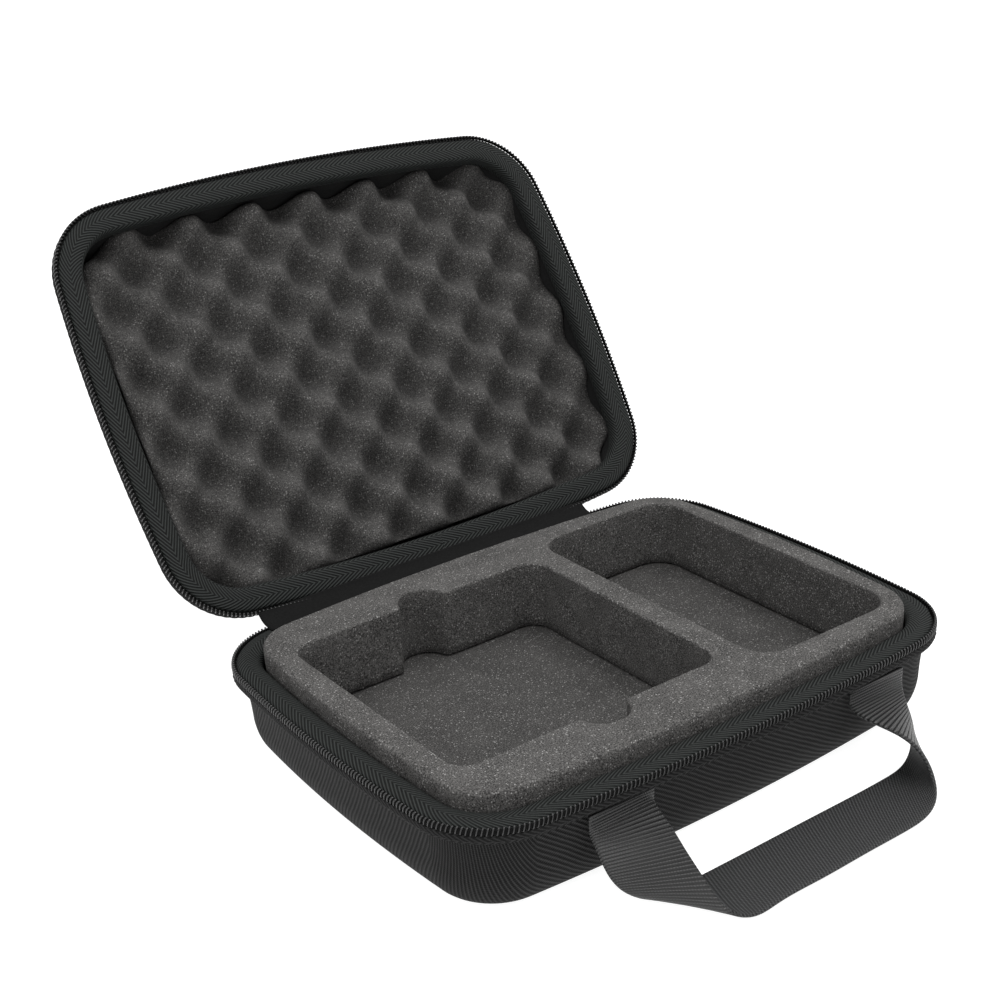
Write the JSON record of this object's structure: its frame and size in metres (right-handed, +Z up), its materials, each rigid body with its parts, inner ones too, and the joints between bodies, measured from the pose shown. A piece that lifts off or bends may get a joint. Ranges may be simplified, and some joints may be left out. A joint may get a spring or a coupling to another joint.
{
  "type": "miniature carry case",
  "caption": "Open zipped hard case for gaming miniatures: moulded fabric halves, die-cut foam tray in the base, egg-crate foam in the lid and a webbing carry handle.",
  "frame": {"origin": "middle of the flat bottom of the base, which stands on the ground plane z = 0", "axes": "+Z up; +X along the lid's hinge; -Y towards the carry handle and +Y towards the hinge and the open lid"},
  "size_m": [0.2238, 0.3192, 0.1765],
  "materials": {
    "shell": "coarse diagonal twill over moulded foam sheet, matte",
    "lining": "thin knitted lining, matte",
    "zipper_tape": "fine woven tape, matte",
    "zipper_coil": "glossy nylon coil",
    "binding": "herringbone twill tape, matte",
    "thread": "polyester thread, slight sheen",
    "foam_tray": "open-cell foam, fine bright cells, matte",
    "foam_floor": "open-cell foam, matte",
    "egg_crate": "open-cell convoluted foam, matte",
    "hinge_cloth": "close woven cloth, matte",
    "webbing": "nylon webbing, ribbed outside and twill inside, low sheen",
    "zipper_plastic": "moulded nylon",
    "zipper_metal": "black enamel on zinc, satin"
  },
  "bodies": {
    "base": {"base_shell": "shell", "base_lining": "lining", "base_zipper_tape": "zipper_tape", "base_zipper_coil": "zipper_coil", "base_binding_tape": "binding", "base_rim_stitching": "thread", "foam_tray": "foam_tray", "foam_floor": "foam_floor", "hinge_strip_base": "hinge_cloth", "handle_sewn_end_left": "webbing", "handle_sewn_end_right": "webbing", "zipper_stop_left": "zipper_plastic", "zipper_stop_right": "zipper_plastic"},
    "lid": {"lid_shell": "shell", "lid_lining": "lining", "lid_zipper_tape": "zipper_tape", "lid_zipper_coil": "zipper_coil", "lid_binding_tape": "binding", "lid_rim_stitching": "thread", "egg_crate_foam": "egg_crate", "hinge_strip_lid": "hinge_cloth"},
    "handle": {"handle_webbing": "webbing"},
    "slider_left": {"slider_left": "zipper_metal"},
    "slider_right": {"slider_right": "zipper_metal"},
    "pull_left": {"pull_tab_left": "zipper_metal"},
    "pull_right": {"pull_tab_right": "zipper_metal"}
  },
  "joints": [
    {"name": "lid_hinge", "type": "hinge", "parent": "base", "child": "lid", "pos_m": [0, 0.0843, 0.0357], "axis": [1, 0, 0], "range_deg": [0, 123.8]},
    {"name": "handle_swing", "type": "hinge", "parent": "base", "child": "handle", "pos_m": [0, -0.0812, 0.0235], "axis": [-1, 0, 0], "range_deg": [0, 60]},
    {"name": "slider_left_travel", "type": "slide", "parent": "base", "child": "slider_left", "axis": [-0.9976, -0.0698, 0], "range_m": [0, 0.014]},
    {"name": "slider_right_travel", "type": "slide", "parent": "base", "child": "slider_right", "axis": [0.9976, -0.0698, 0], "range_m": [0, 0.014]},
    {"name": "pull_left_swing", "type": "hinge", "parent": "slider_left", "child": "pull_left", "pos_m": [-0.058, 0.0864, 0.031], "axis": [1, 0, 0], "range_deg": [-18, 60]},
    {"name": "pull_right_swing", "type": "hinge", "parent": "slider_right", "child": "pull_right", "pos_m": [0.058, 0.0864, 0.031], "axis": [1, 0, 0], "range_deg": [-18, 60]}
  ]
}
